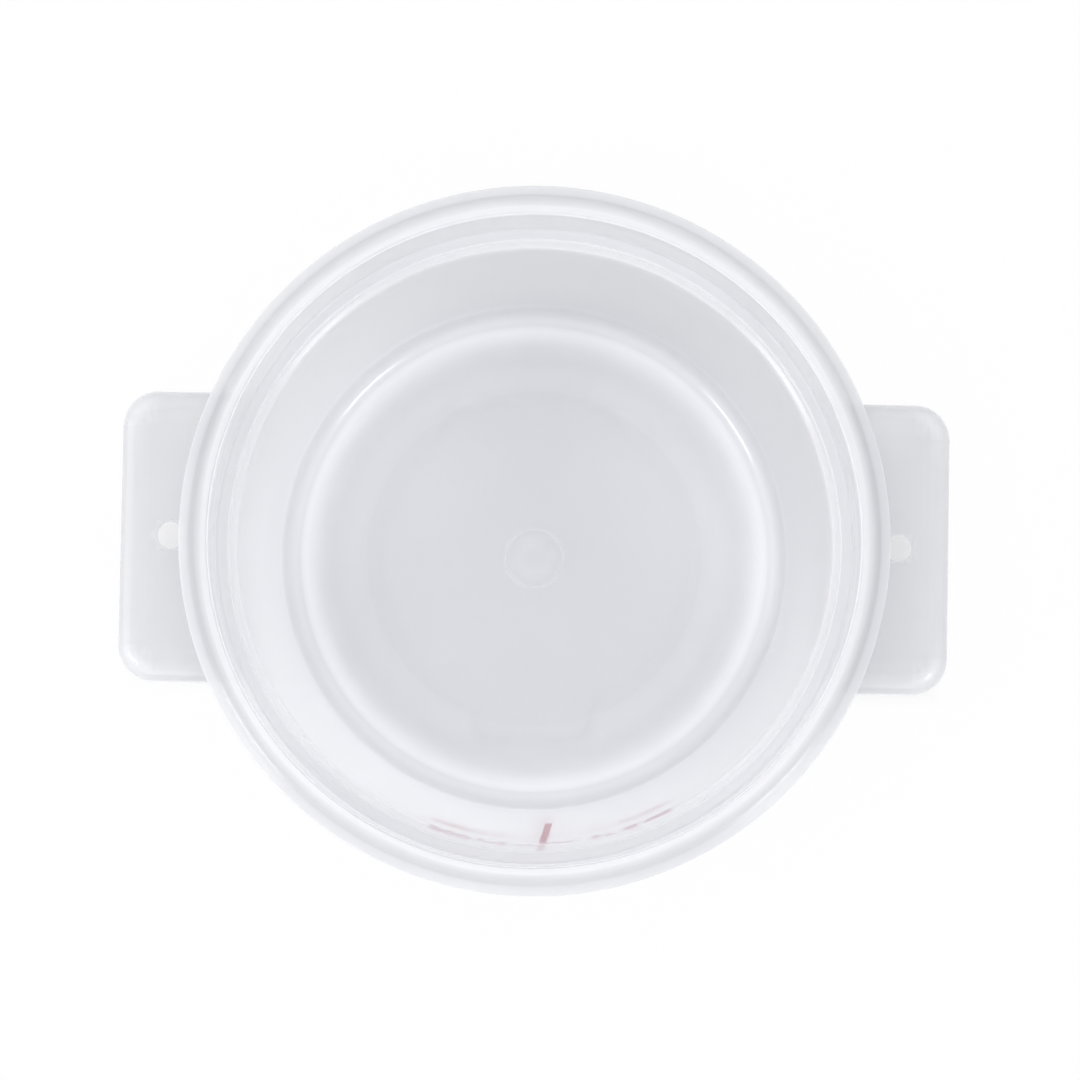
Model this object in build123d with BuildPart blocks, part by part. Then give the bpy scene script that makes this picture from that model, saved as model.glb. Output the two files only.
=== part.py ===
from build123d import *
from math import cos, hypot, pi, radians, tan
import os

# A one-quart round dough container, moulded in one piece with a hollow wing handle on each side.
# Origin at the centre of the base, +Z up, wings along X, printed scale on the -Y side.
# Lengths are in millimetres and angles in degrees.

# Whole container
overall_height = 79.0
rim_radius = 77.0
wall = 1.8

# Rim: a flat top, a sloping shoulder, and a lip that turns down to hold a cover
rim_flat_width = 3.2
shoulder_width = 3.0
shoulder_drop = 1.6
lip_depth = 6.0
lip_wall = 1.6

# Collar under the rim, and the double-stepped ledge at its foot
collar_height = 20.7
collar_draft = 1.1
shelf_width = 2.8
step_rise = 1.3
ledge_width = 1.4

# Tapered body and floor
body_draft = 8.8
floor_thickness = 2.2
floor_fillet = 5.5
heel_rise = 4.2
heel_run = 4.6

# Foot ring, and the shallow disc sunk into the underside
foot_height = 1.3
foot_width = 4.0
disc_margin = 12.0
disc_depth = 0.5

# Gate button in the middle of the floor, with the gate well under it
button_radius = 6.8
button_rise = 0.5
dome_radius = 5.6
dome_top_radius = 3.3
dome_rise = 0.9
gate_well_radius = 4.6
gate_well_depth = 1.2

# Bare label pad, sunk into the underside
pad_length = 26.0
pad_width = 17.0
pad_corner = 2.8
pad_depth = 0.3
pad_distance = 33.4

# Wing handles
wing_projection = 14.0
wing_width = 64.0
wing_drop = 10.0
wing_skirt = 8.0
wing_draft = 3.0
wing_corner = 8.0
wing_edge_rounding = 3.5
wing_hole_radius = 2.85
wing_hole_gap = 2.4

# Printed scale on the front of the body: an upright bar, and the fill lines that start from it
ink_thickness = 0.12
scale_bar_gap = 1.8
scale_bar_length_share = 0.706
scale_bar_width = 1.6
scale_bar_shift = 3.5
scale_bar_lean = 3.0
line_width = 0.9
half_litre_line_length = 5.0
half_litre_line_share = 0.2037
sixteen_ounce_line_length = 6.0
sixteen_ounce_line_share = 0.261

# How far a cut runs past what it cuts
overrun = 1.0

# Heights, from the base up
underside_height = foot_height + disc_depth
floor_height = foot_height + floor_thickness
button_height = floor_height + button_rise
dome_height = button_height + dome_rise
well_height = underside_height + gate_well_depth
shelf_height = overall_height - collar_height
ledge_height = shelf_height - step_rise
shoulder_height = overall_height - shoulder_drop
lip_foot_height = overall_height - lip_depth
rim_under_height = overall_height - wall
shelf_under_height = shelf_height - wall
ledge_under_height = ledge_height - wall
wing_height = overall_height - wing_drop
wing_foot_height = wing_height - wing_skirt

# Radii, from the rim in
wing_reach = rim_radius + wing_projection
wing_hole_distance = rim_radius + wing_hole_gap
lip_inner_radius = rim_radius - lip_wall
rim_flat_radius = rim_radius - shoulder_width
collar_radius = rim_flat_radius - rim_flat_width
collar_slope = tan(radians(collar_draft))
step_radius = collar_radius - collar_height * collar_slope - shelf_width
ledge_radius = step_radius - ledge_width
body_slope = tan(radians(body_draft))

# The rim's underside keeps one wall below its sloping shoulder
shoulder_slope = shoulder_drop / shoulder_width
shoulder_wall = wall * hypot(1, shoulder_slope)
lip_root_height = shoulder_height + lip_wall * shoulder_slope - shoulder_wall
rim_under_radius = rim_flat_radius - (shoulder_wall - wall) / shoulder_slope


def body_inner_radius(height):
    return ledge_radius - (ledge_height - height) * body_slope


def body_outer_radius(height):
    return body_inner_radius(height) + wall / cos(radians(body_draft))


def collar_outer_radius(height):
    inner_radius = collar_radius - (overall_height - height) * collar_slope
    return inner_radius + wall / cos(radians(collar_draft))


foot_radius = body_outer_radius(heel_rise) - heel_run
foot_inner_radius = foot_radius - foot_width
disc_radius = foot_inner_radius - disc_margin

# Corners of the wall's half section, as radius and height: from the axis along the floor, up the
# inside, over the rim, down the outside and back to the axis under the floor
wall_section = [
    (0, dome_height),
    (dome_top_radius, dome_height),
    (dome_radius, button_height),
    (button_radius, button_height),
    (button_radius, floor_height),
    (body_inner_radius(floor_height), floor_height),
    (ledge_radius, ledge_height),
    (step_radius, ledge_height),
    (step_radius, shelf_height),
    (step_radius + shelf_width, shelf_height),
    (collar_radius, overall_height),
    (rim_flat_radius, overall_height),
    (rim_radius, shoulder_height),
    (rim_radius, lip_foot_height),
    (lip_inner_radius, lip_foot_height),
    (lip_inner_radius, lip_root_height),
    (rim_under_radius, rim_under_height),
    (collar_outer_radius(rim_under_height), rim_under_height),
    (collar_outer_radius(shelf_under_height), shelf_under_height),
    (body_outer_radius(ledge_under_height), ledge_under_height),
    (body_outer_radius(heel_rise), heel_rise),
    (foot_radius, 0),
    (foot_inner_radius, 0),
    (foot_inner_radius, foot_height),
    (disc_radius, foot_height),
    (disc_radius, underside_height),
    (gate_well_radius, underside_height),
    (gate_well_radius, well_height),
    (0, well_height),
]

# Container: a hollow bar makes both wings, and the revolved wall goes up through it
with BuildPart() as container:
    with BuildSketch(Plane.XY.offset(wing_foot_height)):
        RectangleRounded(2 * wing_reach, wing_width, wing_corner)
    extrude(amount=wing_skirt, taper=wing_draft)
    fillet(container.faces().sort_by(Axis.Z)[-1].edges(), wing_edge_rounding)
    offset(amount=-wall, openings=container.faces().sort_by(Axis.Z)[0])

    # The vessel's room is cleared of the bar, back to the middle of the collar's wall
    clear_foot = wing_foot_height - overrun
    clear_top = wing_height + overrun
    with BuildSketch(Plane.YZ):
        with BuildLine():
            Polyline(
                (0, clear_foot),
                (collar_outer_radius(clear_foot) - wall / 2, clear_foot),
                (collar_outer_radius(clear_top) - wall / 2, clear_top),
                (0, clear_top),
                close=True,
            )
        make_face()
    revolve(mode=Mode.SUBTRACT)

    with BuildSketch(Plane.YZ):
        with BuildLine():
            Polyline(*wall_section, close=True)
        make_face()
    revolve()
    floor_edges = container.edges().filter_by_position(Axis.Z, floor_height, floor_height)
    fillet(floor_edges.sort_by(SortBy.RADIUS)[-1], floor_fillet)

    # A hole through each wing, close outside the rim
    with BuildSketch(Plane.XY.offset(wing_height)):
        with GridLocations(2 * wing_hole_distance, 0, 2, 1):
            Circle(wing_hole_radius)
    extrude(amount=wall + overrun, both=True, mode=Mode.SUBTRACT)

    # The label pad is sunk into the underside, and stays bare
    with BuildSketch(Plane.XY):
        with Locations((0, -pad_distance)):
            RectangleRounded(pad_length, pad_width, pad_corner)
    extrude(amount=underside_height + pad_depth, mode=Mode.SUBTRACT)

# Printed scale: the bar leans as the real print does, and each fill line starts at its edge
scale_bar_top = ledge_under_height - scale_bar_gap
scale_bar_length = scale_bar_length_share * (ledge_under_height - heel_rise)
scale_bar_height = scale_bar_top - scale_bar_length / 2
half_litre_height = scale_bar_top - half_litre_line_share * scale_bar_length
sixteen_ounce_height = scale_bar_top - sixteen_ounce_line_share * scale_bar_length


def held_volume(height):
    """Volume of a level fill up to this height, less what the floor fillet takes up."""
    floor_radius = body_inner_radius(floor_height)
    cone_volume = pi * (body_inner_radius(height) ** 3 - floor_radius**3) / (3 * body_slope)
    half_corner = radians(90 - body_draft) / 2
    fillet_area = floor_fillet**2 * (tan(half_corner) - half_corner)
    return cone_volume - fillet_area * 2 * pi * floor_radius


def scale_bar_axis(height):
    return scale_bar_shift - (height - scale_bar_height) * tan(radians(scale_bar_lean))


def line_outline(height, length, side):
    """Flat outline of a fill line, from the edge of the scale bar out to one side."""
    reach = length + scale_bar_width / 2
    with BuildSketch(Plane.XZ) as outline:
        with Locations((scale_bar_axis(height) + side * reach / 2, height)):
            Rectangle(reach, line_width)
        add(bar_outline.sketch, mode=Mode.SUBTRACT)
    return outline.sketch


def ink_film(outline):
    """Film of ink on the tapered body behind a flat outline, as a slice of a thin sleeve."""
    film_width = ink_thickness / cos(radians(body_draft))
    with BuildPart() as film:
        with BuildSketch(Plane.YZ):
            with BuildLine():
                Polyline(
                    (body_outer_radius(heel_rise), heel_rise),
                    (body_outer_radius(heel_rise) + film_width, heel_rise),
                    (body_outer_radius(ledge_height) + film_width, ledge_height),
                    (body_outer_radius(ledge_height), ledge_height),
                    close=True,
                )
            make_face()
        revolve()
        extrude(outline, amount=rim_radius, mode=Mode.INTERSECT)
    return film


with BuildSketch(Plane.XZ) as bar_outline:
    with Locations(Location((scale_bar_shift, scale_bar_height), scale_bar_lean)):
        Rectangle(scale_bar_width, scale_bar_length)

scale_bar = ink_film(bar_outline.sketch)
half_litre_line = ink_film(line_outline(half_litre_height, half_litre_line_length, -1))
sixteen_ounce_line = ink_film(line_outline(sixteen_ounce_height, sixteen_ounce_line_length, 1))

container.part.label = "container"
scale_bar.part.label = "scale_bar"
half_litre_line.part.label = "half_litre_line"
sixteen_ounce_line.part.label = "sixteen_ounce_line"

os.makedirs("parts", exist_ok=True)
export_step(container.part, "parts/container.step")
export_step(scale_bar.part, "parts/scale_bar.step")
export_step(half_litre_line.part, "parts/half_litre_line.step")
export_step(sixteen_ounce_line.part, "parts/sixteen_ounce_line.step")

print(f"plastic {container.part.volume:.0f} mm3")
print(f"held up to the half litre line {held_volume(half_litre_height):.0f} mm3")
print(f"held up to the sixteen ounce line {held_volume(sixteen_ounce_height):.0f} mm3")
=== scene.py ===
import bmesh
import bpy
from math import ceil, cos, hypot, pi, radians, sin, tan
from mathutils import Matrix, Vector
from mathutils.bvhtree import BVHTree


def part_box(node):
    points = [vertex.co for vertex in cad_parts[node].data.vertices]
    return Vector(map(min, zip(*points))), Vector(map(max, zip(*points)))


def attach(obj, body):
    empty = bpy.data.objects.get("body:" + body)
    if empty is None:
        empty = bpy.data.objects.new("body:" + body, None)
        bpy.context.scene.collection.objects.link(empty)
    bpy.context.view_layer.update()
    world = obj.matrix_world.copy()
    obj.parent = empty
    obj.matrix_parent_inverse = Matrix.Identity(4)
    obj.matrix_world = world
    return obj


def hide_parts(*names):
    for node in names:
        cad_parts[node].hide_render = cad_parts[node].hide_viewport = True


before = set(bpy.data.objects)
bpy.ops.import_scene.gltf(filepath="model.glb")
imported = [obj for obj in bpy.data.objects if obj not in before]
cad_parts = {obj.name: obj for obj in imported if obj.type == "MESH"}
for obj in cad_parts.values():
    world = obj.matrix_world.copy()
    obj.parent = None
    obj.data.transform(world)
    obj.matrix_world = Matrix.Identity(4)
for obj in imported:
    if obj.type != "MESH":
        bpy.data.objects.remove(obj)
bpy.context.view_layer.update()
print("frame loaded")

# Metres throughout. The base stands on the floor, and the printed scale is on the wall towards -Y.
wingReach, rimRadius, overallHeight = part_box("container")[1]

# The wall of the vessel, from the rim down
wallSizes = {
    "wall": 0.0018,
    "rimFlatWidth": 0.0032,
    "shoulderWidth": 0.003,
    "shoulderDrop": 0.0016,
    "lipDepth": 0.006,
    "lipWall": 0.0016,
    "collarHeight": 0.0207,
    "collarDraft": radians(1.1),
    "shelfWidth": 0.0028,
    "stepRise": 0.0013,
    "ledgeWidth": 0.0014,
    "chamferWidth": 0.0009,
    "chamferTilt": radians(30.5),
    "bodyDraft": radians(8.8),
    "floorThickness": 0.0022,
    "footHeight": 0.0013,
    "footWidth": 0.0079,
    "discMargin": 0.0121,
    "discDepth": 0.0005,
    "discBlur": 0.0006,
    "buttonRadius": 0.0068,
    "buttonRise": 0.0005,
    "domeRadius": 0.0056,
    "domeTopRadius": 0.0033,
    "domeRise": 0.0009,
    "gateWellRadius": 0.0046,
    "gateWellDepth": 0.0012,
    "roundings": {
        "dome": 0.003,
        "buttonTop": 0.0004,
        "buttonFoot": 0.0001,
        "floorEdge": 0.0055,
        "chamferFoot": 0.0004,
        "chamferTop": 0.0003,
        "stepFoot": 0.0001,
        "stepTop": 0.0005,
        "shelf": 0.001,
        "rimInside": 0.0006,
        "rimShoulder": 0.0022,
        "lip": 0.0005,
        "lipRoot": 0.0008,
        "collarTop": 0.001,
        "shelfUnder": 0.002,
        "ledgeUnder": 0.0012,
        "heel": 0.005,
        "foot": 0.0005,
        "disc": 0.0002,
        "gateWell": 0.0008,
    },
    # How finely the wall is meshed
    "segments": 256,
    "railRadius": 0.001,
    "poleWeld": 0.000005,
    "turnStep": radians(12),
    "endSteps": (0.0008, 0.002, 0.004, 0.008),
    "floorStep": 0.0012,
    "level": 0.000001,
    "sharpest": radians(35),
    "largeFaceWeight": 100,
}

wall = wallSizes["wall"]
bodySlope = tan(wallSizes["bodyDraft"])
collarSlope = tan(wallSizes["collarDraft"])
shelfHeight = overallHeight - wallSizes["collarHeight"]
ledgeHeight = shelfHeight - wallSizes["stepRise"]
rimFlatRadius = rimRadius - wallSizes["shoulderWidth"]
collarRadius = rimFlatRadius - wallSizes["rimFlatWidth"]
collarFootRadius = collarRadius - wallSizes["collarHeight"] * collarSlope
stepRadius = collarFootRadius - wallSizes["shelfWidth"]
ledgeRadius = stepRadius - wallSizes["ledgeWidth"]
underHeight = wallSizes["footHeight"] + wallSizes["discDepth"]


def bodyInnerRadius(height):
    return ledgeRadius - (ledgeHeight - height) * bodySlope


def bodyOuterRadius(height):
    return bodyInnerRadius(height) + wall / cos(wallSizes["bodyDraft"])


def collarOuterRadius(height):
    innerRadius = collarRadius - (overallHeight - height) * collarSlope
    return innerRadius + wall / cos(wallSizes["collarDraft"])


def wallSection():
    # Corners as radius, height and rounding, from the axis out along the floor, up the inside,
    # over the rim, down the outside and back to the axis under the floor
    rounding = wallSizes["roundings"]
    footHeight = wallSizes["footHeight"]
    floorHeight = footHeight + wallSizes["floorThickness"]
    buttonHeight = floorHeight + wallSizes["buttonRise"]
    domeHeight = buttonHeight + wallSizes["domeRise"]
    wellHeight = underHeight + wallSizes["gateWellDepth"]
    shoulderHeight = overallHeight - wallSizes["shoulderDrop"]
    lipFootHeight = overallHeight - wallSizes["lipDepth"]
    lipInnerRadius = rimRadius - wallSizes["lipWall"]
    shoulderSlope = wallSizes["shoulderDrop"] / wallSizes["shoulderWidth"]
    shoulderWall = wall * hypot(1, shoulderSlope)
    lipRootHeight = shoulderHeight + wallSizes["lipWall"] * shoulderSlope - shoulderWall
    rimUnderRadius = rimFlatRadius - (shoulderWall - wall) / shoulderSlope
    rimUnderHeight = overallHeight - wall
    footInnerRadius = bodyOuterRadius(0) - wallSizes["footWidth"]
    discRadius = footInnerRadius - wallSizes["discMargin"]
    chamferDrop = wallSizes["chamferWidth"] * tan(wallSizes["chamferTilt"])
    return [
        (0, domeHeight, 0),
        (wallSizes["domeTopRadius"], domeHeight, rounding["dome"]),
        (wallSizes["domeRadius"], buttonHeight, rounding["dome"]),
        (wallSizes["buttonRadius"], buttonHeight, rounding["buttonTop"]),
        (wallSizes["buttonRadius"], floorHeight, rounding["buttonFoot"]),
        (discRadius - wallSizes["discBlur"], floorHeight, 0),
        (discRadius + wallSizes["discBlur"], floorHeight, 0),
        (bodyInnerRadius(floorHeight), floorHeight, rounding["floorEdge"]),
        (ledgeRadius - chamferDrop * bodySlope, ledgeHeight - chamferDrop, rounding["chamferFoot"]),
        (ledgeRadius + wallSizes["chamferWidth"], ledgeHeight, rounding["chamferTop"]),
        (stepRadius, ledgeHeight, rounding["stepFoot"]),
        (stepRadius, shelfHeight, rounding["stepTop"]),
        (stepRadius + wallSizes["shelfWidth"], shelfHeight, rounding["shelf"]),
        (collarRadius, overallHeight, rounding["rimInside"]),
        (rimFlatRadius, overallHeight, rounding["rimShoulder"]),
        (rimRadius, shoulderHeight, rounding["lip"]),
        (rimRadius, lipFootHeight, rounding["lip"]),
        (lipInnerRadius, lipFootHeight, rounding["lip"]),
        (lipInnerRadius, lipRootHeight, rounding["lipRoot"]),
        (rimUnderRadius, rimUnderHeight, rounding["lipRoot"]),
        (collarOuterRadius(rimUnderHeight), rimUnderHeight, rounding["collarTop"]),
        (collarOuterRadius(shelfHeight - wall), shelfHeight - wall, rounding["shelfUnder"]),
        (bodyOuterRadius(ledgeHeight - wall), ledgeHeight - wall, rounding["ledgeUnder"]),
        (bodyOuterRadius(0), 0, rounding["heel"]),
        (footInnerRadius, 0, rounding["foot"]),
        (footInnerRadius, footHeight, rounding["foot"]),
        (discRadius, footHeight, rounding["disc"]),
        (discRadius, underHeight, rounding["disc"]),
        (wallSizes["gateWellRadius"], underHeight, rounding["gateWell"]),
        (wallSizes["gateWellRadius"], wellHeight, 0),
        (0, wellHeight, 0),
    ]


def roundedPath(corners):
    # The corners joined up, with each rounding as a run of short chords
    path = [Vector(corners[0][:2])]
    for before, corner, after in zip(corners, corners[1:], corners[2:]):
        point, rounding = Vector(corner[:2]), corner[2]
        if rounding == 0:
            path.append(point)
            continue
        backward = (Vector(before[:2]) - point).normalized()
        forward = (Vector(after[:2]) - point).normalized()
        halfAngle = backward.angle(forward) / 2
        middle = point + (backward + forward).normalized() * rounding / sin(halfAngle)
        startSpoke = point + backward * rounding / tan(halfAngle) - middle
        endSpoke = point + forward * rounding / tan(halfAngle) - middle
        turn = startSpoke.angle_signed(endSpoke)  # clockwise is positive
        chords = ceil(abs(turn) / wallSizes["turnStep"])
        for chord in range(chords + 1):
            path.append(middle + Matrix.Rotation(-turn * chord / chords, 2) @ startSpoke)
    path.append(Vector(corners[-1][:2]))
    return path


def closeSpaced(path):
    # More points near the ends of the long straight runs, where the plastic's thickness changes,
    # and all along the floor, where the marks under it change it
    spaced = path[:1]
    for start, end in zip(path, path[1:]):
        run = (end - start).length
        steps = [step for step in wallSizes["endSteps"] if step < run / 2]
        along = steps + [run - step for step in reversed(steps)]
        if abs(end.y - start.y) < wallSizes["level"] and max(start.x, end.x) < bodyInnerRadius(0):
            step = wallSizes["floorStep"]
            along = [count * step for count in range(1, int(run / step))]
        spaced += [start.lerp(end, distance / run) for distance in along] + [end]
    return spaced


def newPiece(name, build, material):
    piece = bpy.data.objects.new(name, bpy.data.meshes.new(name))
    bpy.context.collection.objects.link(piece)
    build.to_mesh(piece.data)
    build.free()
    piece.data.materials.append(material)
    return piece


def addNode(tree, kind, place, **values):
    node = tree.nodes.new(kind)
    node.location = place
    for key, value in values.items():
        setattr(node, key, value)
    return node


def feed(tree, sockets):
    # Each socket takes another node's output, or a fixed value
    for socket, given in sockets:
        if isinstance(given, bpy.types.NodeSocket):
            tree.links.new(given, socket)
        else:
            socket.default_value = given


def addMath(tree, place, operation, *given, **values):
    node = addNode(tree, "ShaderNodeMath", place, operation=operation, **values)
    feed(tree, zip(node.inputs, given))
    return node.outputs["Value"]


def addRange(tree, place, value, limits=(0, 1), results=(0, 1), **values):
    node = addNode(tree, "ShaderNodeMapRange", place, **values)
    names = ("Value", "From Min", "From Max", "To Min", "To Max")
    feed(tree, zip([node.inputs[name] for name in names], (value, *limits, *results)))
    return node.outputs["Result"]


def addMix(tree, place, factor, first, second, blend="MIX"):
    node = addNode(tree, "ShaderNodeMix", place, data_type="RGBA", blend_type=blend)
    feed(tree, zip([node.inputs[name] for name in ("Factor", "A", "B")], (factor, first, second)))
    return node.outputs["Result"]


def addNoise(tree, place, spot, scale):
    node = addNode(tree, "ShaderNodeTexNoise", place)
    feed(tree, ((node.inputs["Vector"], spot), (node.inputs["Scale"], scale)))
    return node


# Milky polypropylene, satin from the mould. It is whiter and less clear where it is thick.
plasticLook = {
    "thinTone": (0.161, 0.162, 0.167, 1),
    "thickTone": (0.54, 0.541, 0.551, 1),
    "thinGlow": (0.386, 0.387, 0.396, 1),
    "thickGlow": (0.454, 0.455, 0.465, 1),
    "thinAlpha": 0.535,
    "thickAlpha": 0.92,
    "thinLimit": 0.00245,
    "thickLimit": 0.0046,
    # From the base up: height, and the painted shade put on the plastic there, below one darker and
    # above one lighter
    "paintedHeightShades": (
        (0.0028, 1), (0.0033, 1.11), (0.0037, 0.87), (0.0045, 0.885), (0.0075, 0.9),
        (0.011, 0.855), (0.0545, 0.855), (0.056, 0.96), (0.058, 0.96), (0.0605, 0.71),
        (0.076, 0.7), (0.077, 1.05), (0.0783, 1.05), (0.0787, 0.84),
    ),
    # Painted shade on the wings and the lip, painted light on the gate button, and painted shade on
    # the disc under the floor
    "outerStart": 0.0755,
    "paintedOuterShade": 0.89,
    "paintedButtonLight": 1.07,
    "paintedDiscShade": 0.985,
    "discReach": 0.039,
    "paintedShadeBlur": 0.0005,
    "cloudScale": 38,
    "cloudDetail": 3,
    "cloudShade": 0.97,
    "grainScale": 2600,
    "grainStrength": 0.08,
    "grainDepth": 0.00005,
    "smoothest": 0.15,
    "roughest": 0.22,
    "refraction": 1.49,
}


def paintedShadeByPlace(tree, spot):
    # Painted shade and light by height, as a brightness for each height: the collar's is darkest,
    # as the rim's lip keeps light from it. By distance from the axis, the wings and the lip and the
    # disc under the floor get painted shade of their own, and the gate button painted light.
    look, link = plasticLook, tree.links.new
    apart = addNode(tree, "ShaderNodeSeparateXYZ", (-1600, 900))
    level = addNode(tree, "ShaderNodeCombineXYZ", (-1400, 1100))
    reach = addNode(tree, "ShaderNodeVectorMath", (-1200, 1100), operation="LENGTH")
    paintedShades = addNode(tree, "ShaderNodeValToRGB", (-1000, 800))
    link(spot, apart.inputs[0])
    link(apart.outputs["X"], level.inputs["X"])
    link(apart.outputs["Y"], level.inputs["Y"])
    link(level.outputs["Vector"], reach.inputs[0])
    upward = addMath(tree, (-1200, 800), "DIVIDE", apart.outputs["Z"], overallHeight)
    link(upward, paintedShades.inputs["Fac"])
    steps = paintedShades.color_ramp.elements
    for height, paintedShade in look["paintedHeightShades"]:
        step = steps.new(height / overallHeight)
        step.color = (paintedShade, paintedShade, paintedShade, 1)
    steps.remove(steps[-1])
    steps.remove(steps[0])

    def paintedShadeFrom(radius, inner, outer, height):
        limits = (radius, radius + look["paintedShadeBlur"])
        return addRange(tree, (-1000, height), reach.outputs["Value"], limits, (inner, outer))

    outside = paintedShadeFrom(look["outerStart"], 0, look["paintedOuterShade"], 1100)
    button = paintedShadeFrom(wallSizes["buttonRadius"], look["paintedButtonLight"], 1, 500)
    disc = paintedShadeFrom(look["discReach"], look["paintedDiscShade"], 1, 300)
    shaded = addMath(tree, (-600, 900), "MAXIMUM", paintedShades.outputs["Color"], outside)
    middle = addMath(tree, (-600, 600), "MULTIPLY", button, disc)
    return addMath(tree, (-400, 900), "MULTIPLY", shaded, middle)


def milkyPlastic():
    material = bpy.data.materials.new("milkyPolypropylene")
    material.use_nodes = True
    tree, look = material.node_tree, plasticLook
    tree.nodes.clear()
    output = addNode(tree, "ShaderNodeOutputMaterial", (900, 0))
    both = addNode(tree, "ShaderNodeAddShader", (700, 0))
    body = addNode(tree, "ShaderNodeBsdfPrincipled", (350, 150))
    glow = addNode(tree, "ShaderNodeBsdfTranslucent", (350, -450))
    bump = addNode(tree, "ShaderNodeBump", (50, -400))
    depth = addNode(tree, "ShaderNodeAttribute", (-1100, 500), attribute_name="thickness")
    spot = addNode(tree, "ShaderNodeTexCoord", (-1900, 0)).outputs["Object"]
    cloud = addNoise(tree, (-800, 200), spot, look["cloudScale"])
    grain = addNoise(tree, (-800, -300), spot, look["grainScale"])
    cloud.inputs["Detail"].default_value = look["cloudDetail"]
    cloud = cloud.outputs["Fac"]
    limits = (look["thinLimit"], look["thickLimit"])
    thick = addRange(tree, (-800, 500), depth.outputs["Fac"], limits)
    cloudy = addRange(tree, (-500, 150), cloud, results=(look["cloudShade"], 1))
    clear = addRange(tree, (-200, 0), thick, results=(look["thinAlpha"], look["thickAlpha"]))
    satin = addRange(tree, (-200, -200), cloud, results=(look["smoothest"], look["roughest"]))
    tone = addMix(tree, (-500, 400), thick, look["thinTone"], look["thickTone"])
    tone = addMix(tree, (-200, 300), 1, tone, cloudy, "MULTIPLY")
    glowTone = addMix(tree, (-500, -500), thick, look["thinGlow"], look["thickGlow"])
    # Painted shade and light by place, multiplied into the tone and the glow below
    paintedShade = paintedShadeByPlace(tree, spot)
    feed(tree, (
        (bump.inputs["Height"], grain.outputs["Fac"]),
        (bump.inputs["Strength"], look["grainStrength"]),
        (bump.inputs["Distance"], look["grainDepth"]),
        (body.inputs["Base Color"], addMix(tree, (100, 500), 1, tone, paintedShade, "MULTIPLY")),
        (body.inputs["Alpha"], clear),
        (body.inputs["Roughness"], satin),
        (body.inputs["Normal"], bump.outputs["Normal"]),
        (body.inputs["IOR"], look["refraction"]),
        (glow.inputs["Color"], addMix(tree, (100, -600), 1, glowTone, paintedShade, "MULTIPLY")),
        (both.inputs[0], body.outputs["BSDF"]),
        (both.inputs[1], glow.outputs["BSDF"]),
        (output.inputs["Surface"], both.outputs["Shader"]),
    ))
    return material


# Red ink from a printing screen, a little uneven
inkLook = {
    "fullTone": (0.52, 0.025, 0.075, 1),
    "thinTone": (0.62, 0.07, 0.14, 1),
    "blotchScale": 700,
    "roughness": 0.45,
}


def screenInk():
    material = bpy.data.materials.new("redScreenInk")
    material.use_nodes = True
    tree = material.node_tree
    body = tree.nodes["Principled BSDF"]
    place = addNode(tree, "ShaderNodeTexCoord", (-900, 0))
    blotch = addNoise(tree, (-600, 0), place.outputs["Object"], inkLook["blotchScale"])
    tone = addMix(tree, (-300, 0), blotch.outputs["Fac"], inkLook["fullTone"], inkLook["thinTone"])
    body.inputs["Roughness"].default_value = inkLook["roughness"]
    tree.links.new(tone, body.inputs["Base Color"])
    return material


plastic = milkyPlastic()
ink = screenInk()
print("materials made")


def revolveTree():
    # Turns a profile of edges, drawn as radius along X and height along Y, once round the Z axis
    tree = bpy.data.node_groups.new("revolvedWall", "GeometryNodeTree")
    inputs = {
        "Profile": "Geometry",
        "Segments": "Int",
        "Rail Radius": "Float",
        "Material": "Material",
    }
    for name, kind in inputs.items():
        tree.interface.new_socket(name, in_out="INPUT", socket_type="NodeSocket" + kind)
    tree.interface.new_socket("Wall", in_out="OUTPUT", socket_type="NodeSocketGeometry")
    given = addNode(tree, "NodeGroupInput", (-600, 0))
    rail = addNode(tree, "GeometryNodeCurvePrimitiveCircle", (-300, 200))
    upright = addNode(tree, "GeometryNodeSetCurveNormal", (-100, 200))
    section = addNode(tree, "GeometryNodeMeshToCurve", (-300, -100))
    sweep = addNode(tree, "GeometryNodeCurveToMesh", (100, 0))
    poles = addNode(tree, "GeometryNodeMergeByDistance", (300, 0))
    real = addNode(tree, "GeometryNodeRealizeInstances", (500, 0))
    finish = addNode(tree, "GeometryNodeSetMaterial", (700, 0))
    result = addNode(tree, "NodeGroupOutput", (900, 0))
    upright.mode = "Z_UP"
    poles.inputs["Distance"].default_value = wallSizes["poleWeld"]
    link = tree.links.new
    link(given.outputs["Segments"], rail.inputs["Resolution"])
    link(given.outputs["Rail Radius"], rail.inputs["Radius"])
    link(given.outputs["Profile"], section.inputs["Mesh"])
    link(rail.outputs["Curve"], upright.inputs["Curve"])
    link(upright.outputs["Curve"], sweep.inputs["Curve"])
    link(section.outputs["Curve"], sweep.inputs["Profile Curve"])
    link(sweep.outputs["Mesh"], poles.inputs["Geometry"])
    link(poles.outputs["Geometry"], real.inputs["Geometry"])
    link(real.outputs["Geometry"], finish.inputs["Geometry"])
    link(given.outputs["Material"], finish.inputs["Material"])
    link(finish.outputs["Geometry"], result.inputs["Wall"])
    return tree


wallTree = revolveTree()


def meshOf(thing):
    # The mesh as the modifiers leave it
    graph = bpy.context.evaluated_depsgraph_get()
    return bpy.data.meshes.new_from_object(thing.evaluated_get(graph))


def plainMesh(piece):
    shaped = meshOf(piece)
    piece.modifiers.clear()
    piece.data = shaped


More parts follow.
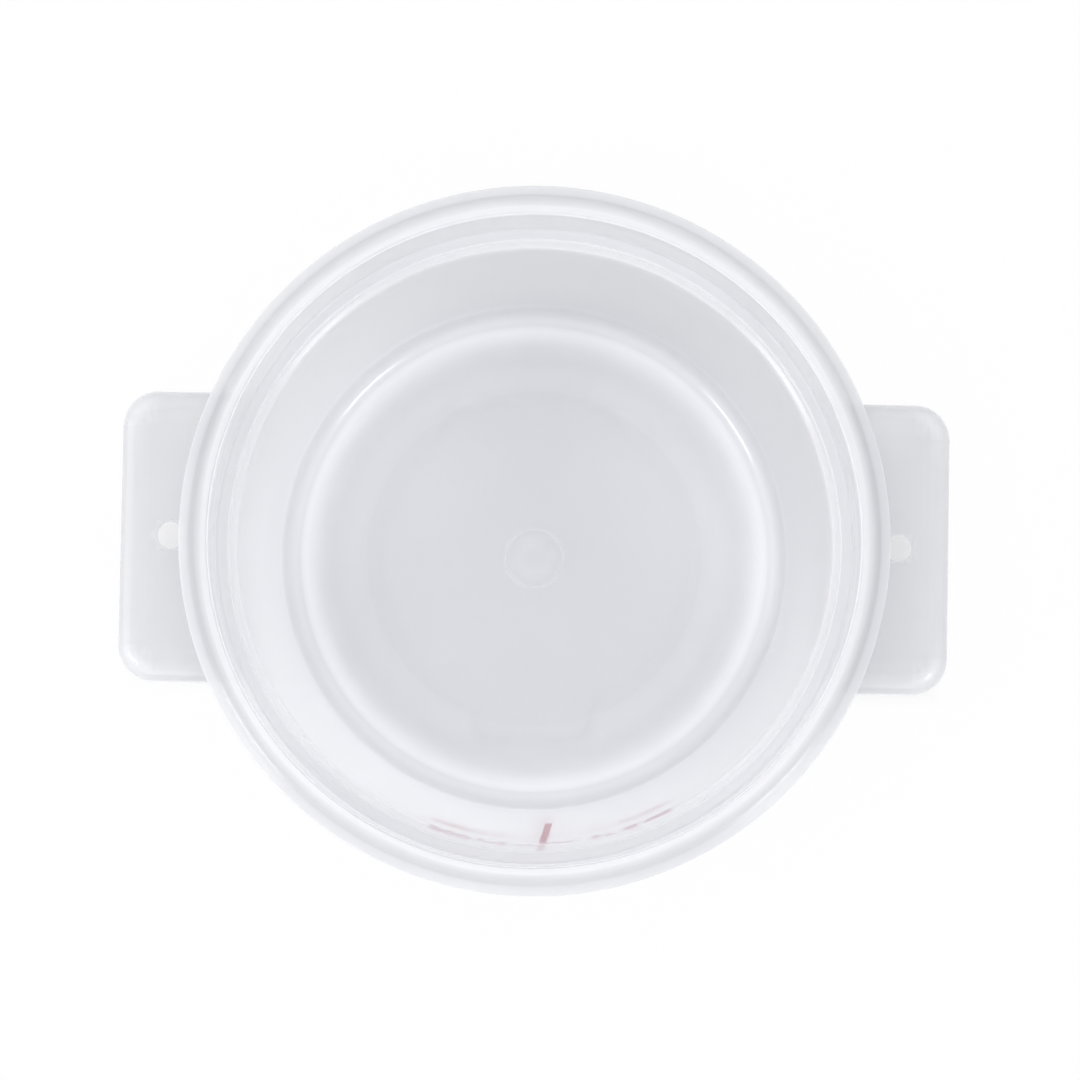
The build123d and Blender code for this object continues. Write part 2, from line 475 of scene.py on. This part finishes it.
def revolved(name, path, material):
    railRadius = wallSizes["railRadius"]
    profile = bmesh.new()
    dots = [profile.verts.new((point.x - railRadius, -point.y, 0)) for point in path]
    for start, end in zip(dots, dots[1:]):
        profile.edges.new((start, end))
    piece = newPiece(name, profile, material)
    modifier = piece.modifiers.new("revolve", "NODES")
    modifier.node_group = wallTree
    values = {"Segments": wallSizes["segments"], "Rail Radius": railRadius, "Material": material}
    for socket in wallTree.interface.items_tree:
        if socket.in_out == "INPUT" and socket.name in values:
            modifier[socket.identifier] = values[socket.name]
    plainMesh(piece)
    return piece


# The hollow bar whose two ends are the wings, and the hole in each
wingSizes = {
    "width": 0.064,
    "drop": 0.01,
    "skirt": 0.008,
    "draft": radians(3),
    "corner": 0.008,
    "edgeRounding": 0.0045,
    "footRounding": 0.0005,
    "topMargin": 0.0065,
    "cornerChords": 12,
    "holeRadius": 0.00285,
    "holeGap": 0.0024,
    "holeFlare": 0.0003,
    "projection": 0.02,
    "meshStep": 0.0017,
    "cutWeld": 0.00001,
}
wingTop = overallHeight - wingSizes["drop"]
wingFoot = wingTop - wingSizes["skirt"]


def roundCorners(middleX, middleY, radius, chords):
    # A rectangle's outline with round corners, whose middles lie this far out from the centre
    outline = []
    for quarter, (sideX, sideY) in enumerate(((1, 1), (-1, 1), (-1, -1), (1, -1))):
        for chord in range(chords + 1):
            angle = (quarter + chord / chords) * pi / 2
            x, y = sideX * middleX + radius * cos(angle), sideY * middleY + radius * sin(angle)
            outline.append((x, y))
    return outline


def skinned(outlines):
    # A closed solid through these outlines, the first and last of which are its ends
    solid = bmesh.new()
    rings = [[solid.verts.new(dot) for dot in outline] for outline in outlines]
    for upper, lower in zip(rings, rings[1:]):
        for this in range(len(upper)):
            after = (this + 1) % len(upper)
            solid.faces.new((upper[this], upper[after], lower[after], lower[this]))
    solid.faces.new(rings[0])
    solid.faces.new(list(reversed(rings[-1])))
    bmesh.ops.recalc_face_normals(solid, faces=solid.faces)
    return solid


def splitFaces(build, spot, facing, weld):
    everything = build.verts[:] + build.edges[:] + build.faces[:]
    bmesh.ops.bisect_plane(build, geom=everything, dist=weld, plane_co=spot, plane_no=facing)


def wingOutline(inset, height):
    # The bar's outline where it lies this far inside its foot
    corner, chords = wingSizes["corner"], wingSizes["cornerChords"]
    middleX, middleY = wingReach - corner, wingSizes["width"] / 2 - corner
    return [(x, y, height) for x, y in roundCorners(middleX, middleY, corner - inset, chords)]


def hollowBar():
    rise, lean = wingSizes["skirt"], tan(wingSizes["draft"])
    skin = wall / cos(wingSizes["draft"])
    path = roundedPath([
        (wingSizes["topMargin"], wingTop, 0),
        (rise * lean, wingTop, wingSizes["edgeRounding"]),
        (0, wingFoot, wingSizes["footRounding"]),
        (skin, wingFoot, wingSizes["footRounding"]),
        (skin + (rise - wall) * lean, wingTop - wall, wingSizes["edgeRounding"] - wall),
        (wingSizes["topMargin"], wingTop - wall, 0),
    ])
    bar = skinned([wingOutline(point.x, point.y) for point in path])
    step = wingSizes["meshStep"]
    for column in range(1, int(wingSizes["projection"] / step)):
        for side in (-1, 1):
            spot = (side * (wingReach - column * step), 0, 0)
            splitFaces(bar, spot, (1, 0, 0), wingSizes["cutWeld"])
    rowStep = 2 * step
    rows = int(wingSizes["width"] / 2 / rowStep)
    for row in range(-rows, rows + 1):
        splitFaces(bar, (0, row * rowStep, 0), (0, 1, 0), wingSizes["cutWeld"])
    return newPiece("hollowBar", bar, plastic)


def cutOrJoin(piece, operation, others):
    for other in others:
        modifier = piece.modifiers.new(operation, "BOOLEAN")
        modifier.operation = operation
        modifier.solver = "EXACT"
        modifier.object = other
    plainMesh(piece)
    for other in others:
        bpy.data.objects.remove(other)


def outward(piece):
    shell = bmesh.new()
    shell.from_mesh(piece.data)
    bmesh.ops.recalc_face_normals(shell, faces=shell.faces)
    shell.to_mesh(piece.data)
    shell.free()
    return piece


def turnedPlug(name, corners, x=0, y=0):
    # A closed solid turned round an upright axis that stands at (x, y)
    plug = revolved(name, [Vector(corner) for corner in corners], plastic)
    plug.data.transform(Matrix.Translation((x, y, 0)))
    return outward(plug)


tub = outward(revolved("tub", closeSpaced(roundedPath(wallSection())), plastic))
bar = hollowBar()
low, high = wingFoot - wall, wingTop + wall
roomLow, roomHigh = [collarOuterRadius(height) - wall / 2 for height in (low, high)]
room = turnedPlug("room", [(0, high), (roomHigh, high), (roomLow, low), (0, low)])
cutOrJoin(bar, "DIFFERENCE", [room])
holeRadius, flare = wingSizes["holeRadius"], wingSizes["holeFlare"]
holeCorners = [
    (0, high),
    (holeRadius + flare, high),
    (holeRadius + flare, wingTop),
    (holeRadius, wingTop - flare),
    (holeRadius, wingTop - wall + flare),
    (holeRadius + flare, wingTop - wall),
    (holeRadius + flare, low),
    (0, low),
]
holeReach = rimRadius + wingSizes["holeGap"]
holes = [turnedPlug("hole", holeCorners, x=side * holeReach) for side in (-1, 1)]
cutOrJoin(tub, "UNION", [bar])
cutOrJoin(tub, "DIFFERENCE", holes)
print("wings joined")

# Bare label pad and bare insert marks in the underside
markSizes = {
    "padLength": 0.026,
    "padWidth": 0.017,
    "padCorner": 0.0028,
    "padChords": 8,
    "padDepth": 0.0005,
    "padDistance": 0.0334,
    "insertRadius": 0.0037,
    "insertDepth": 0.0004,
    "insertPitch": 0.0083,
    "insertDistance": 0.0305,
    "insertPlaces": (-2.1, -1, 0, 1.8),
}


def padBlock(top):
    corner = markSizes["padCorner"]
    middleX, middleY = markSizes["padLength"] / 2 - corner, markSizes["padWidth"] / 2 - corner
    outline = roundCorners(middleX, middleY, corner, markSizes["padChords"])
    distance = markSizes["padDistance"]
    ends = [[(x, y - distance, height) for x, y in outline] for height in (top, -wall)]
    return newPiece("padBlock", skinned(ends), plastic)


insertRadius, insertTop = markSizes["insertRadius"], underHeight + markSizes["insertDepth"]
insertDistance = markSizes["insertDistance"]
insertCorners = [(0, insertTop), (insertRadius, insertTop), (insertRadius, -wall), (0, -wall)]
inserts = [
    turnedPlug("insert", insertCorners, x=place * markSizes["insertPitch"], y=insertDistance)
    for place in markSizes["insertPlaces"]
]
cutOrJoin(tub, "DIFFERENCE", [padBlock(underHeight + markSizes["padDepth"])] + inserts)
print("underside marked")


def smoothOver(piece):
    piece.data.shade_smooth()
    piece.data.set_sharp_from_angle(angle=wallSizes["sharpest"])
    even = piece.modifiers.new("even", "WEIGHTED_NORMAL")
    even.keep_sharp = True
    even.weight = wallSizes["largeFaceWeight"]
    plainMesh(piece)


# Sight lines into the plastic, and the furthest that they count
sightLines = {
    "furthest": 0.008,
    "start": 0.0002,
    "tilts": (radians(20), radians(42), radians(62)),
    "turns": 6,
    "blurs": 2,
}


def feelThickness(piece):
    # Each point of the surface gets the mean distance through the plastic along its sight lines
    shell = piece.data
    dots, faces = [dot.co for dot in shell.vertices], [face.vertices for face in shell.polygons]
    tree = BVHTree.FromPolygons(dots, faces)
    spread = [Vector((0, 0, 1))]
    for tilt in sightLines["tilts"]:
        for turn in range(sightLines["turns"]):
            angle = turn * 2 * pi / sightLines["turns"]
            spread.append(Vector((sin(tilt) * cos(angle), sin(tilt) * sin(angle), cos(tilt))))
    means = []
    for dot in shell.vertices:
        inward = -dot.normal
        start = dot.co + inward * sightLines["start"]
        facing = inward.to_track_quat("Z", "Y")
        total = 0
        for line in spread:
            distance = tree.ray_cast(start, facing @ line, sightLines["furthest"])[3]
            total += sightLines["furthest"] if distance is None else distance
        means.append(total / len(spread) + sightLines["start"])
    for blur in range(sightLines["blurs"]):
        sums, counts = list(means), [1] * len(means)
        for edge in shell.edges:
            first, second = edge.vertices
            sums[first] += means[second]
            sums[second] += means[first]
            counts[first] += 1
            counts[second] += 1
        means = [total / count for total, count in zip(sums, counts)]
    shell.attributes.new("thickness", "FLOAT", "POINT").data.foreach_set("value", means)


feelThickness(tub)
print("thickness felt")
smoothOver(tub)
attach(tub, "root")
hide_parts("container")
print("tub finished:", len(tub.data.polygons), "faces")

# Printed scale on the front of the body. The film starts just inside the wall's outer face.
printSizes = {
    "inside": 0.00005,
    "outside": 0.00012,
    "barWidth": 0.0016,
    "columnWidth": 0.001,
    "figureHeight": 0.0048,
    "boldness": 0.07,
    "halfLitreFigures": ("500 ml", -0.0229, -0.0052),
    "sixteenOunceFigures": ("16 fl oz", 0.0143, 0.0334),
    "dotWeld": 0.00001,
    "cutWeld": 0.000001,
}
barLow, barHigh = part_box("scale_bar")


def spanOf(values):
    values = list(values)
    return min(values), max(values)


def strip(corners):
    # A flat closed outline, as X and height
    flat = bmesh.new()
    flat.faces.new([flat.verts.new((x, height, 0)) for x, height in corners])
    return flat


def lineStrip(node):
    low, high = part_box(node)
    corners = [(low.x, low.z), (high.x, low.z), (high.x, high.z), (low.x, high.z)]
    return strip(corners), (low.z + high.z) / 2


def addFigures(flat, words, left, right, height):
    # Figures between these distances round the wall, centred on their line
    data = bpy.data.curves.new("figures", "FONT")
    data.body = words
    data.offset = printSizes["boldness"]
    writing = bpy.data.objects.new("figures", data)
    bpy.context.collection.objects.link(writing)
    letters = meshOf(writing)
    bpy.data.objects.remove(writing)
    acrossLow, acrossHigh = spanOf(dot.co.x for dot in letters.vertices)
    upLow, upHigh = spanOf(dot.co.y for dot in letters.vertices)
    radius = bodyOuterRadius(height)
    for dot in letters.vertices:
        arc = left + (dot.co.x - acrossLow) / (acrossHigh - acrossLow) * (right - left)
        rise = ((dot.co.y - upLow) / (upHigh - upLow) - 0.5) * printSizes["figureHeight"]
        dot.co = (radius * sin(arc / radius), height + rise, 0)
    flat.from_mesh(letters)


def inkPrint(name, node, flat):
    # Cuts the flat print into columns, gives it its thickness and lays it round the wall
    bmesh.ops.remove_doubles(flat, verts=flat.verts, dist=printSizes["dotWeld"])
    low, high = spanOf(dot.co.x for dot in flat.verts)
    for column in range(1, ceil((high - low) / printSizes["columnWidth"])):
        spot = (low + column * printSizes["columnWidth"], 0, 0)
        splitFaces(flat, spot, (1, 0, 0), printSizes["cutWeld"])
    raised = bmesh.ops.extrude_face_region(flat, geom=flat.faces[:], use_keep_orig=True)["geom"]
    outer = {part for part in raised if isinstance(part, bmesh.types.BMVert)}
    for dot in flat.verts:
        offset = printSizes["outside"] if dot in outer else -printSizes["inside"]
        radius = bodyOuterRadius(dot.co.y) + offset
        dot.co = (dot.co.x, -(radius ** 2 - dot.co.x ** 2) ** 0.5, dot.co.y)
    bmesh.ops.recalc_face_normals(flat, faces=flat.faces)
    piece = newPiece(name, flat, ink)
    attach(piece, "root")
    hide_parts(node)


lean = barHigh.x - barLow.x - printSizes["barWidth"]
barCorners = [
    (barLow.x + lean, barLow.z),
    (barHigh.x, barLow.z),
    (barHigh.x - lean, barHigh.z),
    (barLow.x, barHigh.z),
]
inkPrint("scaleBarPrint", "scale_bar", strip(barCorners))
halfLitre, halfLitreHeight = lineStrip("half_litre_line")
addFigures(halfLitre, *printSizes["halfLitreFigures"], halfLitreHeight)
inkPrint("halfLitrePrint", "half_litre_line", halfLitre)
sixteenOunce, sixteenOunceHeight = lineStrip("sixteen_ounce_line")
addFigures(sixteenOunce, *printSizes["sixteenOunceFigures"], sixteenOunceHeight)
inkPrint("sixteenOuncePrint", "sixteen_ounce_line", sixteenOunce)
print("scale printed")

# Camera as far off as the photograph's, above and a little in front of the rim's centre
view = {
    "aboveRim": 0.9,
    "inFront": 0.055,
    "roll": radians(1.05),
    "sensorWidth": 36,
    "focalPixels": 4179,
    "imagePixels": 1080,
    "rimCentrePixels": (534.5, 538.8),
}
rimCentre = Vector((0, 0, overallHeight))
eye = rimCentre + Vector((0, -view["inFront"], view["aboveRim"]))
forward = (rimCentre - eye).normalized()
across = Vector((1, 0, 0))
upward = across.cross(forward)
turned = across * cos(view["roll"]) + upward * sin(view["roll"])
raised = upward * cos(view["roll"]) - across * sin(view["roll"])
axes = Matrix((turned, raised, -forward)).transposed()
cameraData = bpy.data.cameras.new("camera")
cameraData.sensor_width = view["sensorWidth"]
cameraData.lens = cameraData.sensor_width * view["focalPixels"] / view["imagePixels"]
cameraData.shift_x = 0.5 - view["rimCentrePixels"][0] / view["imagePixels"]
cameraData.shift_y = view["rimCentrePixels"][1] / view["imagePixels"] - 0.5
camera = bpy.data.objects.new("camera", cameraData)
camera.matrix_world = Matrix.Translation(eye) @ axes.to_4x4()
bpy.context.collection.objects.link(camera)
bpy.context.scene.camera = camera

# Soft lamps overhead, on the left and in front. The two small bright ones, to the front left and
# the front right, make the highlights. The top lamp leaves no streak of its own on the rim.
lampSizes = {
    "key": {"power": 2.8, "width": 0.34, "height": 0.16, "place": (-0.9, -0.55, 0.85)},
    "fill": {"power": 3.0, "width": 0.34, "height": 0.16, "place": (0.8, -0.7, 0.85)},
    "top": {"power": 17.4, "width": 1.5, "height": 1.5, "place": (-0.1, 0.1, 1.6)},
    "left": {"power": 3.0, "width": 0.8, "height": 0.8, "place": (-1.2, -0.1, 0.5)},
    "front": {"power": 1.3, "width": 0.8, "height": 0.8, "place": (0, -1.2, 0.6)},
}
for name, sizes in lampSizes.items():
    light = bpy.data.lights.new(name + "Lamp", "AREA")
    light.shape = "RECTANGLE"
    light.size = sizes["width"]
    light.size_y = sizes["height"]
    light.energy = sizes["power"]
    lamp = bpy.data.objects.new(name + "Lamp", light)
    lamp.location = sizes["place"]
    lamp.rotation_euler = (rimCentre - lamp.location).to_track_quat("-Z", "Y").to_euler()
    lamp.visible_glossy = name != "top"
    bpy.context.collection.objects.link(lamp)


def seenFromLens(tree):
    # One where a ray comes from the lens, a gloss or clear glass, and nought where it gathers
    # soft light
    ray = addNode(tree, "ShaderNodeLightPath", (-800, 0)).outputs
    first = addMath(tree, (-600, 0), "MAXIMUM", ray["Is Camera Ray"], ray["Is Glossy Ray"])
    both = addMath(tree, (-400, 0), "MAXIMUM", first, ray["Is Transmission Ray"])
    return addMath(tree, (-200, 0), "SUBTRACT", both, ray["Is Diffuse Ray"], use_clamp=True)


# Even pale room
roomLook = {
    "tone": (0.98, 0.985, 1, 1),
    "strength": 0.5,
}
world = bpy.data.worlds.new("room")
bpy.context.scene.world = world
world.use_nodes = True
roomTree = world.node_tree
roomLight = roomTree.nodes["Background"]
roomWhite = addNode(roomTree, "ShaderNodeBackground", (0, 200))
roomMix = addNode(roomTree, "ShaderNodeMixShader", (200, 0))
feed(roomTree, (
    (roomLight.inputs["Color"], roomLook["tone"]),
    (roomLight.inputs["Strength"], roomLook["strength"]),
    (roomMix.inputs["Fac"], seenFromLens(roomTree)),
    (roomMix.inputs[1], roomLight.outputs["Background"]),
    (roomMix.inputs[2], roomWhite.outputs["Background"]),
    (roomTree.nodes["World Output"].inputs["Surface"], roomMix.outputs["Shader"]),
))

# White table, which keeps the container's shadow under the container and its wings. Seen from the
# lens, the white is painted on, except in a patch set by the tub's and the wings' outlines. The
# patch is darker partly from the lamps' real shadow on the matte table and partly as painted shade,
# as holding back the white darkens it where no shadow falls.
tableSizes = {
    "reach": 3,
    "cells": 61,
    "underFoot": 0.0001,
    "tone": (0.79, 0.79, 0.79, 1),
    "roughness": 0.9,
    "tubShade": 0.0845,
    "shadeCentre": (0, 0.0048, 0),
    "wingShade": (0.097, 0.034),
    "softness": 0.012,
    "shadedShare": 0.06,
    "openShare": 0.96,
}
tableWhite = bpy.data.materials.new("tableWhite")
tableWhite.use_nodes = True
tableTree = tableWhite.node_tree
spot = addNode(tableTree, "ShaderNodeTexCoord", (-1400, 600)).outputs["Object"]
apart = addNode(tableTree, "ShaderNodeSeparateXYZ", (-1200, 400))
out = addNode(tableTree, "ShaderNodeVectorMath", (-1200, 700), operation="DISTANCE")
feed(tableTree, (
    (apart.inputs[0], spot), (out.inputs[0], spot), (out.inputs[1], tableSizes["shadeCentre"]),
))


def shadeEdge(distance, edge, height):
    # Nought well inside this edge, and one outside it
    limits = (edge - tableSizes["softness"], edge)
    return addRange(tableTree, (-700, height), distance, limits, interpolation_type="SMOOTHSTEP")


aside = addMath(tableTree, (-950, 450), "ABSOLUTE", apart.outputs["X"])
along = addMath(tableTree, (-950, 200), "ABSOLUTE", apart.outputs["Y"])
# The patch where the painted white is held back, by the tub's and the wings' outlines
besideTub = shadeEdge(out.outputs["Value"], tableSizes["tubShade"], 700)
pastWing = shadeEdge(aside, tableSizes["wingShade"][0], 450)
besideWing = shadeEdge(along, tableSizes["wingShade"][1], 200)
offWing = addMath(tableTree, (-450, 0), "MAXIMUM", pastWing, besideWing)
inTheOpen = addMath(tableTree, (-450, -200), "MINIMUM", besideTub, offWing)
shares = (tableSizes["shadedShare"], tableSizes["openShare"])
share = addRange(tableTree, (-200, 300), inTheOpen, results=shares)
paperShare = addMath(tableTree, (-200, -400), "MULTIPLY", share, seenFromLens(tableTree))
matte = tableTree.nodes["Principled BSDF"]
paper = addNode(tableTree, "ShaderNodeEmission", (0, -300))
tableMix = addNode(tableTree, "ShaderNodeMixShader", (400, 0))
feed(tableTree, (
    (matte.inputs["Base Color"], tableSizes["tone"]),
    (matte.inputs["Roughness"], tableSizes["roughness"]),
    (matte.inputs["Specular IOR Level"], 0),
    (tableMix.inputs["Fac"], paperShare),
    (tableMix.inputs[1], matte.outputs["BSDF"]),
    (tableMix.inputs[2], paper.outputs["Emission"]),
    (tableTree.nodes["Material Output"].inputs["Surface"], tableMix.outputs["Shader"]),
))
tableBuild = bmesh.new()
cells = tableSizes["cells"]
bmesh.ops.create_grid(tableBuild, x_segments=cells, y_segments=cells, size=tableSizes["reach"])
bmesh.ops.translate(tableBuild, verts=tableBuild.verts, vec=(0, 0, -tableSizes["underFoot"]))
table = newPiece("table", tableBuild, tableWhite)

bpy.context.scene.view_settings.view_transform = "Standard"
print("scene ready")
